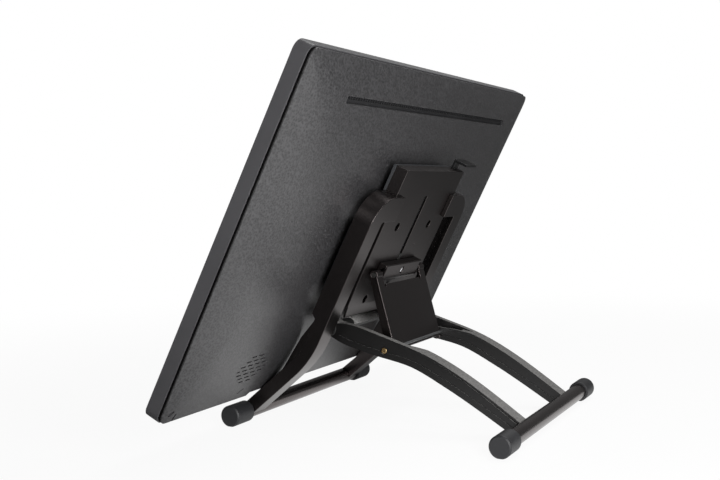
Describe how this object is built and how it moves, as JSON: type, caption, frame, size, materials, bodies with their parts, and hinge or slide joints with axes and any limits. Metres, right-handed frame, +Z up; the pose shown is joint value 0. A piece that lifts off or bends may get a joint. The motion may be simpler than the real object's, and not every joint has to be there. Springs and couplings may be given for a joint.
{
  "type": "pen display on folding stand",
  "caption": "Graphics tablet with a large screen, a domed rear cover, and a folding stand: bent legs, foot bars, hinged arms, and a prop on a sliding carriage released by a lever.",
  "frame": {"origin": "on the floor, in the middle between the two foot bars", "axes": "+X to the user's right, +Y out of the display's back, +Z up"},
  "size_m": [0.515, 0.2698, 0.3216],
  "materials": {
    "bezel_plastic": "fine satin, dark grey",
    "cover_plastic": "fine grained, dark grey",
    "screen_glass": "etched, dark when off",
    "lcd_glass": "black when off",
    "light_guide": "white",
    "chassis_metal": "plain sheet",
    "circuit_board": "green solder mask",
    "steel": "plain",
    "socket_metal": "stamped shell",
    "black_plastic": "moulded black",
    "key_plastic": "satin",
    "tray_metal": "satin dark grey",
    "stand_black": "satin black",
    "cap_rubber": "matte",
    "arm_metal": "textured grey over black sides",
    "brass_screw": "turned",
    "prop_metal": "satin brown-black",
    "slide_plastic": "moulded black",
    "lever_metal": "satin black"
  },
  "bodies": {
    "display": {"front_bezel": "bezel_plastic", "cover_glass": "screen_glass", "lcd_panel": "lcd_glass", "backlight_tray": "light_guide", "pen_sensor_sheet": "circuit_board", "chassis_plate": "chassis_metal", "main_board": "circuit_board", "power_board": "circuit_board", "board_screws": "steel", "port_board": "circuit_board", "video_socket": "socket_metal", "usb_socket": "socket_metal", "power_socket": "black_plastic", "key_board": "circuit_board", "rear_cover": "cover_plastic", "vent_grille": "black_plastic", "right_speaker": "black_plastic", "left_speaker": "black_plastic", "lock_slot_plate": "steel", "mount_pad": "black_plastic", "mount_screws": "steel", "base_plate": "tray_metal", "slide_tray": "tray_metal", "guide_rods": "steel", "leg_screws": "steel", "right_leg": "stand_black", "left_leg": "stand_black", "front_foot_bar": "stand_black", "front_right_cap": "cap_rubber", "front_left_cap": "cap_rubber", "pivot_shaft": "steel", "pivot_spacers": "black_plastic", "lever_spring": "steel"},
    "arms": {"right_arm": "arm_metal", "left_arm": "arm_metal", "rear_foot_bar": "stand_black", "rear_right_cap": "cap_rubber", "rear_left_cap": "cap_rubber", "prop_rod": "steel", "prop_screws": "brass_screw"},
    "prop": {"prop_plate": "prop_metal", "prop_pins": "steel"},
    "carriage": {"carriage_bracket": "prop_metal", "slide_block": "slide_plastic", "carriage_screw": "steel"},
    "lever": {"release_lever": "lever_metal", "lock_bar": "steel"},
    "power_key": {"power_key": "key_plastic"},
    "menu_key": {"menu_key": "key_plastic"},
    "up_key": {"up_key": "key_plastic"},
    "down_key": {"down_key": "key_plastic"},
    "select_key": {"select_key": "key_plastic"}
  },
  "joints": [
    {"name": "arm_pivot", "type": "hinge", "parent": "display", "child": "arms", "pos_m": [0, -0.05653, 0.08446], "axis": [1, 0, 0], "range_deg": [0, 40]},
    {"name": "prop_pivot", "type": "hinge", "parent": "arms", "child": "prop", "pos_m": [0, -0.00389, 0.06757], "axis": [1, 0, 0], "range_deg": [-58, 0]},
    {"name": "carriage_slide", "type": "slide", "parent": "display", "child": "carriage", "axis": [0, 0.4352, 0.9003], "range_m": [0, 0.0449]},
    {"name": "lever_slide", "type": "slide", "parent": "display", "child": "lever", "axis": [0, -0.4352, -0.9003], "range_m": [0, 0.005], "stiffness_N_per_m": 700, "springref_m": -0.004, "deforming": ["lever_spring"]},
    {"name": "power_key_press", "type": "slide", "parent": "display", "child": "power_key", "axis": [0, 0.9003, -0.4352], "range_m": [0, 0.0008], "stiffness_N_per_m": 1200, "springref_m": -0.0006},
    {"name": "menu_key_press", "type": "slide", "parent": "display", "child": "menu_key", "axis": [0, 0.9003, -0.4352], "range_m": [0, 0.0008], "stiffness_N_per_m": 1200, "springref_m": -0.0006},
    {"name": "up_key_press", "type": "slide", "parent": "display", "child": "up_key", "axis": [0, 0.9003, -0.4352], "range_m": [0, 0.0008], "stiffness_N_per_m": 1200, "springref_m": -0.0006},
    {"name": "down_key_press", "type": "slide", "parent": "display", "child": "down_key", "axis": [0, 0.9003, -0.4352], "range_m": [0, 0.0008], "stiffness_N_per_m": 1200, "springref_m": -0.0006},
    {"name": "select_key_press", "type": "slide", "parent": "display", "child": "select_key", "axis": [0, 0.9003, -0.4352], "range_m": [0, 0.0008], "stiffness_N_per_m": 1200, "springref_m": -0.0006}
  ],
  "couplings": [
    {"joint": "prop_pivot", "follows": "arm_pivot", "ratio": -1.4476},
    {"joint": "carriage_slide", "follows": "arm_pivot", "m_per_rad": 0.064142}
  ]
}
